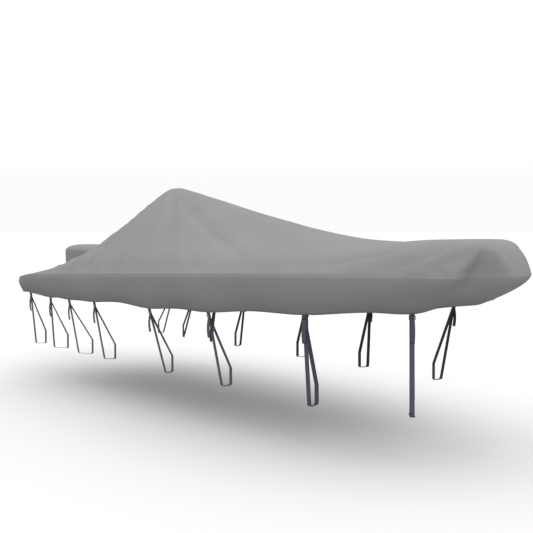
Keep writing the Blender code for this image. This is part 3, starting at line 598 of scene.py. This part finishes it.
def coated_polyester():
    made, tree, shader = new_material("woven polyester, matt coated, mid grey")
    sheet = add(tree, "ShaderNodeUVMap", uv_map="sheet")
    seams = add(tree, "ShaderNodeUVMap", uv_map="seams")
    object_place = add(tree, "ShaderNodeTexCoord").outputs["Object"]
    apart = add(tree, "ShaderNodeSeparateXYZ", {}, {0: seams.outputs[0]})
    from_hem, from_bend = apart.outputs[0], apart.outputs[1]

    # threads: over and under in both directions
    threads = []
    for direction in ("X", "Y"):
        threads.append(add(tree, "ShaderNodeTexWave", {"Scale": WAVE_PERIOD / WEAVE_PITCH},
                           {"Vector": sheet.outputs[0]}, bands_direction=direction,
                           wave_profile="SIN"))
    weave = add(tree, "ShaderNodeMath", {},
                {0: threads[0].outputs["Fac"], 1: threads[1].outputs["Fac"]},
                operation="MULTIPLY")

    # tone: dust that has settled in patches, and rain marks
    patches = add(tree, "ShaderNodeTexNoise",
                  {"Scale": 1.3, "Detail": 4.0, "Roughness": 0.45},
                  {"Vector": object_place})
    grain = add(tree, "ShaderNodeTexNoise",
                {"Scale": 42.0, "Detail": 3.0, "Roughness": 0.6},
                {"Vector": object_place})
    tone = add(tree, "ShaderNodeMix", {"Factor": 0.35},
               {"A": patches.outputs["Fac"], "B": grain.outputs["Fac"]})
    ramp = add(tree, "ShaderNodeValToRGB", {}, {"Fac": tone.outputs["Result"]})
    ramp.color_ramp.elements[0].position = 0.36
    ramp.color_ramp.elements[0].color = linear("#6b6b6c")
    ramp.color_ramp.elements[1].position = 0.64
    ramp.color_ramp.elements[1].color = linear("#717173")

    # the cloth is darker towards the hem, and painted shade darkens a belt of the top just
    # over the bend; each row of stitches shows as a line
    hem_darkening = add(tree, "ShaderNodeMapRange",
                   {"From Min": 0.0, "From Max": HEM_DARKENING_RISE, "To Min": HEM_DARKEST, "To Max": 1.0},
                   {"Value": from_hem}, interpolation_type="SMOOTHSTEP")
    stitched = line_at(tree, from_hem, HEM_WIDTH, STITCH_ROW)
    for place in BEND_ROWS:
        row = line_at(tree, from_bend, place, STITCH_ROW)
        stitched = add(tree, "ShaderNodeMath", {}, {0: stitched, 1: row},
                       operation="MAXIMUM").outputs[0]
    run = add(tree, "ShaderNodeSeparateXYZ", {}, {0: sheet.outputs[0]}).outputs[0]
    beat = add(tree, "ShaderNodeMath", {1: 2 * math.pi / STITCH_PITCH}, {0: run},
               operation="MULTIPLY")
    dash = add(tree, "ShaderNodeMath", {}, {0: beat.outputs[0]}, operation="SINE")
    dash = add(tree, "ShaderNodeMapRange", {"From Min": -0.4, "From Max": 0.4},
               {"Value": dash.outputs[0]})
    thread = add(tree, "ShaderNodeMath", {}, {0: stitched, 1: dash.outputs["Result"]},
                 operation="MULTIPLY")
    darker = add(tree, "ShaderNodeMapRange", {"To Min": 1.0, "To Max": 0.90},
                 {"Value": thread.outputs[0]})
    # painted shade: a belt of the top just over the bend is made darker
    painted_shade_belt = add(tree, "ShaderNodeMapRange", {"To Min": 1.0, "To Max": PAINTED_SHADE_DEPTH},
                    {"Value": line_at(tree, from_bend, PAINTED_SHADE_RISE, PAINTED_SHADE_WIDTH)})
    hem_darkening_and_painted_shade = add(tree, "ShaderNodeMath", {},
               {0: hem_darkening.outputs["Result"], 1: painted_shade_belt.outputs["Result"]},
               operation="MULTIPLY")
    shade = add(tree, "ShaderNodeMath", {},
                {0: hem_darkening_and_painted_shade.outputs[0], 1: darker.outputs["Result"]}, operation="MULTIPLY")
    base = add(tree, "ShaderNodeVectorMath", {},
               {0: ramp.outputs["Color"], 1: shade.outputs[0]}, operation="MULTIPLY")
    tree.links.new(base.outputs["Vector"], shader.inputs["Base Color"])

    # relief: threads, the sewn-down lines, and fine crumpling
    crumple = add(tree, "ShaderNodeTexNoise",
                  {"Scale": 11.0, "Detail": 4.0, "Roughness": 0.5, "Distortion": 0.4},
                  {"Vector": object_place})
    crumple_bump = add(tree, "ShaderNodeBump", {"Strength": 0.12, "Distance": 0.004},
                       {"Height": crumple.outputs["Fac"]})
    sewn_bump = add(tree, "ShaderNodeBump", {"Strength": 0.3, "Distance": 0.0010},
                    {"Height": stitched, "Normal": crumple_bump.outputs["Normal"]},
                    invert=True)
    weave_bump = add(tree, "ShaderNodeBump", {"Strength": 0.25, "Distance": 0.0004},
                     {"Height": weave.outputs[0], "Normal": sewn_bump.outputs["Normal"]})
    tree.links.new(weave_bump.outputs["Normal"], shader.inputs["Normal"])
    shader.inputs["Roughness"].default_value = 0.95
    shader.inputs["Specular IOR Level"].default_value = 0.12
    return made


# Flat woven polypropylene webbing: close ribs across it, warp threads along it, and a
# slight sheen on the ribs. They lie 1.4 mm apart; drawn 4 mm apart.
RIB_PITCH, WARP_PITCH = 0.004, 0.0045


def woven_webbing():
    made, tree, shader = new_material("woven polypropylene webbing, navy black")
    strip = add(tree, "ShaderNodeUVMap", uv_map="sheet")
    ribs = add(tree, "ShaderNodeTexWave", {"Scale": WAVE_PERIOD / RIB_PITCH},
               {"Vector": strip.outputs[0]}, bands_direction="X", wave_profile="SIN")
    warp = add(tree, "ShaderNodeTexWave", {"Scale": WAVE_PERIOD / WARP_PITCH},
               {"Vector": strip.outputs[0]}, bands_direction="Y", wave_profile="SIN")
    fuzz = add(tree, "ShaderNodeTexNoise", {"Scale": 90.0, "Detail": 3.0},
               {"Vector": add(tree, "ShaderNodeTexCoord").outputs["Object"]})
    weave = add(tree, "ShaderNodeMix", {"Factor": 0.4},
                {"A": ribs.outputs["Fac"], "B": warp.outputs["Fac"]})
    tone = add(tree, "ShaderNodeMix", {"Factor": 0.5},
               {"A": weave.outputs["Result"], "B": fuzz.outputs["Fac"]})
    ramp = add(tree, "ShaderNodeValToRGB", {}, {"Fac": tone.outputs["Result"]})
    ramp.color_ramp.elements[0].position = 0.25
    ramp.color_ramp.elements[0].color = linear("#14151f")
    ramp.color_ramp.elements[1].position = 0.80
    ramp.color_ramp.elements[1].color = linear("#2a2c3c")
    tree.links.new(ramp.outputs["Color"], shader.inputs["Base Color"])
    bump = add(tree, "ShaderNodeBump", {"Strength": 0.7, "Distance": 0.0005},
               {"Height": weave.outputs["Result"]})
    tree.links.new(bump.outputs["Normal"], shader.inputs["Normal"])
    shader.inputs["Roughness"].default_value = 0.70
    shader.inputs["Sheen Weight"].default_value = 0.15
    return made


# Moulded acetal: satin black, faintly pebbled by its mould, rubbed smoother in patches.
def moulded_acetal():
    made, tree, shader = new_material("moulded acetal, satin black")
    place = add(tree, "ShaderNodeTexCoord").outputs["Object"]
    pebbles = add(tree, "ShaderNodeTexNoise", {"Scale": 900.0, "Detail": 2.0},
                  {"Vector": place})
    rub = add(tree, "ShaderNodeTexNoise", {"Scale": 60.0, "Detail": 3.0}, {"Vector": place})
    tone = add(tree, "ShaderNodeValToRGB", {}, {"Fac": rub.outputs["Fac"]})
    tone.color_ramp.elements[0].position = 0.35
    tone.color_ramp.elements[0].color = linear("#15161a")
    tone.color_ramp.elements[1].position = 0.70
    tone.color_ramp.elements[1].color = linear("#212228")
    gloss = add(tree, "ShaderNodeMapRange", {"To Min": 0.38, "To Max": 0.55},
                {"Value": rub.outputs["Fac"]})
    tree.links.new(tone.outputs["Color"], shader.inputs["Base Color"])
    tree.links.new(gloss.outputs["Result"], shader.inputs["Roughness"])
    bump = add(tree, "ShaderNodeBump", {"Strength": 0.3, "Distance": 0.0001},
               {"Height": pebbles.outputs["Fac"]})
    tree.links.new(bump.outputs["Normal"], shader.inputs["Normal"])
    return made


# ---- meshes --------------------------------------------------------------------------
def grid(rows, columns, place, relief=None, seams=None):
    """A bmesh grid laid out by place(row, column), raised by relief along its normals.

    Its first UV map is the sheet's own metres along and across, its second what seams
    gives for a row and column, the distances from the hem and from the bend. Each point
    also remembers, with those two, how many columns it lies in from the nearer side.
    """
    bm = bmesh.new()
    bmesh.ops.create_grid(bm, x_segments=rows, y_segments=columns, size=0.5)
    spot = bm.verts.layers.float_vector.new("spot")
    points = [[place(row, column) for column in range(columns + 1)]
              for row in range(rows + 1)]
    spots, run = [], 0.0
    for row, places in enumerate(points):
        if row:
            run += max((places[k] - points[row - 1][k]).length
                       for k in (0, columns // 2, columns))
        down = 0.0
        spots.append([Vector((run, 0.0, 0.0))])
        for before, after in zip(places, places[1:]):
            down += (after - before).length
            spots[row].append(Vector((run, down, 0.0)))
    extra = bm.verts.layers.float_vector.new("seams")
    for vert in bm.verts:
        row = round((vert.co.x + 0.5) * rows)
        column = round((vert.co.y + 0.5) * columns)
        vert.co, vert[spot] = points[row][column], spots[row][column]
        if seams:
            vert[extra] = Vector((*seams(spots[row], column), min(column, columns - column)))
    for name, layer in (("sheet", spot), ("seams", extra)):
        uv = bm.loops.layers.uv.new(name)
        for face in bm.faces:
            for loop in face.loops:
                loop[uv].uv = loop.vert[layer].xy
    bmesh.ops.remove_doubles(bm, verts=bm.verts, dist=MERGE)
    bmesh.ops.recalc_face_normals(bm, faces=bm.faces)
    if relief:
        bm.normal_update()
        heights = [(vert, vert.normal * relief(vert.co)) for vert in bm.verts]
        for vert, height in heights:
            vert.co += height
    return bm


def add_object(name, bm, finish):
    """Turn a bmesh, given from the stern edge, into an object at the origin."""
    bmesh.ops.translate(bm, verts=bm.verts, vec=-ORIGIN)
    mesh = bpy.data.meshes.new(name)
    bm.to_mesh(mesh)
    bm.free()
    mesh.shade_smooth()
    mesh.materials.append(finish)
    made = bpy.data.objects.new(name, mesh)
    bpy.context.scene.collection.objects.link(made)
    return made


def thicken(piece, thickness, offset):
    """Give a sheet its thickness; offset -1 keeps its outer face, 0 its middle."""
    wall = piece.modifiers.new("thickness", "SOLIDIFY")
    wall.thickness = thickness
    wall.offset = offset


def trim(bm, guide):
    """Cut an open sheet where it enters a guide's inside, and drop what lies inside."""
    depths = {}
    for vert in bm.verts:
        place, normal, _, _ = guide.find_nearest(vert.co, TRIM_REACH)
        depths[vert] = TRIM_REACH if place is None else (vert.co - place).dot(normal)
    for edge in list(bm.edges):
        start, end = edge.verts
        if depths[start] * depths[end] < 0:
            share = depths[start] / (depths[start] - depths[end])
            _, made = bmesh.utils.edge_split(edge, start, share)
            depths[made] = 0.0
    for face in list(bm.faces):
        ends = [vert for vert in face.verts if depths[vert] == 0.0]
        if len(ends) == 2:
            bmesh.utils.face_split(face, *ends)
    inside = [face for face in bm.faces if min(depths[vert] for vert in face.verts) < 0]
    bmesh.ops.delete(bm, geom=inside, context="FACES")


def finish_piece(piece, slot, *nodes):
    """Put a piece in the place of the solids that it stands for."""
    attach(piece, "root")
    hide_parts(*nodes)


# ---- cloth ---------------------------------------------------------------------------
folds_and_creases = fold_lines(FOLDS, FOLD_SOFT) + fold_lines(CREASES, FOLD_CRISP)


def cover_relief(at):
    """Everything that stands out from the drawn sheet at a place."""
    height = fold_height(at, folds_and_creases) + sag_height(at)
    edge = along(BEND, at.x)
    if at.z > edge:
        return height + fan_height(at) * smooth((at.z - edge) / FAN_RISE)
    return height + pull_height(at)


def cover_grid():
    """The sheet of the cover, hem to hem, with an edge at the bend and at the band's foot."""
    points = bend_points()
    half = BEND_COLUMN + TOP_COLUMNS

    def place(row, column):
        bend, outward = points[row]
        side = -1 if column <= half else 1
        return cover_point(bend, outward, side, min(column, 2 * half - column))

    def seams(spots, column):
        if column <= half:
            hem, bend, here = spots[0].y, spots[BEND_COLUMN].y, spots[column].y
            return here - hem, here - bend
        hem, bend, here = spots[-1].y, spots[2 * half - BEND_COLUMN].y, spots[column].y
        return hem - here, bend - here

    bm = grid(len(points) - 1, 2 * half, place, cover_relief, seams)
    inward = bm.verts.layers.float_vector["seams"]
    for edge in bm.edges:
        columns = {round(vert[inward].z) for vert in edge.verts}
        if len(columns) == 1 and columns & {SKIRT_COLUMNS, BEND_COLUMN}:
            edge.smooth = False
    return bm


def hood_relief(at):
    """Soft dents and drag lines of the hood."""
    return sum(height * noise.noise(Vector((at.x * across, at.y * across, at.z * up + seed)))
               for height, across, up, seed in (HOOD_DENTS, HOOD_DRAG))


def hood_grid():
    """The pocket over the motor."""
    def place(row, column):
        return hood_point(2 * math.pi * row / HOOD_AROUND, column / HOOD_UP)

    def seams(spots, column):
        return spots[column].y, HOOD_NO_BEND

    return grid(HOOD_AROUND, HOOD_UP, place, hood_relief, seams)


def add_cloth(finish):
    """The cover and the motor hood, joined where each ends at the other."""
    cover_bm, hood_bm = cover_grid(), hood_grid()
    cover_guide, hood_guide = BVHTree.FromBMesh(cover_bm), BVHTree.FromBMesh(hood_bm)
    trim(cover_bm, hood_guide)
    trim(hood_bm, cover_guide)
    cover = add_object("cover_cloth", cover_bm, finish)
    hood = add_object("motor_hood_cloth", hood_bm, finish)
    thicken(cover, CLOTH, -1.0)
    thicken(hood, CLOTH, -1.0)
    finish_piece(cover, "cloth", "top", "skirt")
    finish_piece(hood, "cloth", "motor_hood")


# ---- webbing -------------------------------------------------------------------------
def add_webbing(name, route, side, finish):
    """A strip of webbing along a route of points and directions across it."""
    def place(row, column):
        point, across = route[row]
        point = point + across * WEB_WIDTH * (column / WEB_COLUMNS - 0.5)
        return Vector((point.x, side * point.y, point.z))

    strip = add_object(name, grid(len(route) - 1, WEB_COLUMNS, place), finish)
    thicken(strip, WEB, 0.0)
    return strip


def add_buckle(name, finish):
    """The buckle's solid with its edges rounded."""
    bm = bmesh.new()
    bm.from_mesh(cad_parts[name].data)
    bmesh.ops.remove_doubles(bm, verts=bm.verts, dist=MERGE)
    bmesh.ops.dissolve_limit(bm, angle_limit=BUCKLE_FLAT, verts=bm.verts, edges=bm.edges)
    sharp = [edge for edge in bm.edges if edge.calc_face_angle(0.0) > BUCKLE_SHARP]
    bmesh.ops.bevel(bm, geom=sharp, offset=BUCKLE_EDGE, offset_type="OFFSET", segments=2,
                    profile=0.5, affect="EDGES", material=-1)
    mesh = bpy.data.meshes.new(name + "_moulded")
    bm.to_mesh(mesh)
    bm.free()
    mesh.shade_smooth()
    mesh.set_sharp_from_angle(angle=BUCKLE_SHADED)
    mesh.materials.append(finish)
    made = bpy.data.objects.new(name + "_moulded", mesh)
    bpy.context.scene.collection.objects.link(made)
    finish_piece(made, "buckle", name)
    return made


def add_ties(web, plastic):
    """The ties of both sides, each with its buckle and its tab."""
    for side, board, ties in ((-1, "starboard", STARBOARD_TIES), (1, "port", PORT_TIES)):
        for tie in ties:
            label = f"{tie.name}_{board}"
            route = tie_route(tie, side)
            strip = add_webbing(f"tie_{label}_webbing", route, side, web)
            finish_piece(strip, "webbing", f"tie_{label}")
            buckle = add_buckle(f"buckle_{label}", plastic)
            path = [tuple(placed(point, side)) for point, _ in route]
            tab = add_webbing(f"tab_{label}_webbing", tab_route(tie, side), side, web)
            finish_piece(tab, "webbing", f"tab_{label}")


# ---- studio --------------------------------------------------------------------------
FLOOR_RADIUS = 400.0
SKY_FOOT = 0.05                    # the light starts to rise a little over eye level
SKY_LEVEL, SKY_TOP = 0.97, 2.36    # strength of the room's light at eye level and overhead
LAMP_STRENGTH, LAMP_SPREAD = 1.6, 0.7          # its spread in radians
LAMP_FROM = Vector((0.78, -0.26, 0.56))        # from over the viewer's right shoulder


def add_camera():
    """The camera at the viewer's place."""
    heading, down = math.radians(HEADING), math.radians(DOWNWARD)
    ahead = Vector((math.cos(heading) * math.cos(down), math.sin(heading) * math.cos(down),
                    -math.sin(down)))
    data = bpy.data.cameras.new("viewer")
    data.sensor_width = FILM
    data.lens = LENS
    data.clip_end = FAR_CLIP
    viewer = bpy.data.objects.new("viewer", data)
    bpy.context.scene.collection.objects.link(viewer)
    viewer.location = EYE - ORIGIN
    viewer.rotation_euler = ahead.to_track_quat("-Z", "Y").to_euler()
    bpy.context.scene.camera = viewer


def add_floor():
    """A pale, plain floor at ground level, wide enough to reach the horizon."""
    bm = bmesh.new()
    bmesh.ops.create_circle(bm, cap_ends=True, segments=96, radius=FLOOR_RADIUS)
    bmesh.ops.translate(bm, verts=bm.verts, vec=(0.0, 0.0, -ORIGIN.z))
    mesh = bpy.data.meshes.new("floor")
    bm.to_mesh(mesh)
    bm.free()
    made, tree, shader = new_material("smooth painted floor, near white")
    shader.inputs["Base Color"].default_value = linear("#b8b8b8")
    shader.inputs["Roughness"].default_value = 0.9
    shader.inputs["Specular IOR Level"].default_value = 0.1
    mesh.materials.append(made)
    floor = bpy.data.objects.new("floor", mesh)
    bpy.context.scene.collection.objects.link(floor)


def add_light():
    """An even pale room, brighter overhead, and one broad soft lamp."""
    world = bpy.data.worlds.new("pale room")
    bpy.context.scene.world = world
    world.use_nodes = True
    tree = world.node_tree
    place = add(tree, "ShaderNodeTexCoord").outputs["Generated"]
    height = add(tree, "ShaderNodeSeparateXYZ", {}, {0: place}).outputs["Z"]
    strength = add(tree, "ShaderNodeMapRange", {"From Min": SKY_FOOT, "From Max": 1.0,
                                                "To Min": SKY_LEVEL, "To Max": SKY_TOP},
                   {"Value": height})
    room = tree.nodes["Background"]
    room.inputs["Color"].default_value = linear("#ffffff")
    tree.links.new(strength.outputs["Result"], room.inputs["Strength"])
    lamp = bpy.data.lights.new("overhead", "SUN")
    lamp.energy = LAMP_STRENGTH
    lamp.angle = LAMP_SPREAD
    overhead = bpy.data.objects.new("overhead", lamp)
    overhead.rotation_euler = LAMP_FROM.to_track_quat("Z", "Y").to_euler()
    bpy.context.scene.collection.objects.link(overhead)


add_camera()
add_ties(woven_webbing(), moulded_acetal())
add_cloth(coated_polyester())
add_floor()
add_light()
bpy.context.scene.view_settings.view_transform = "Standard"
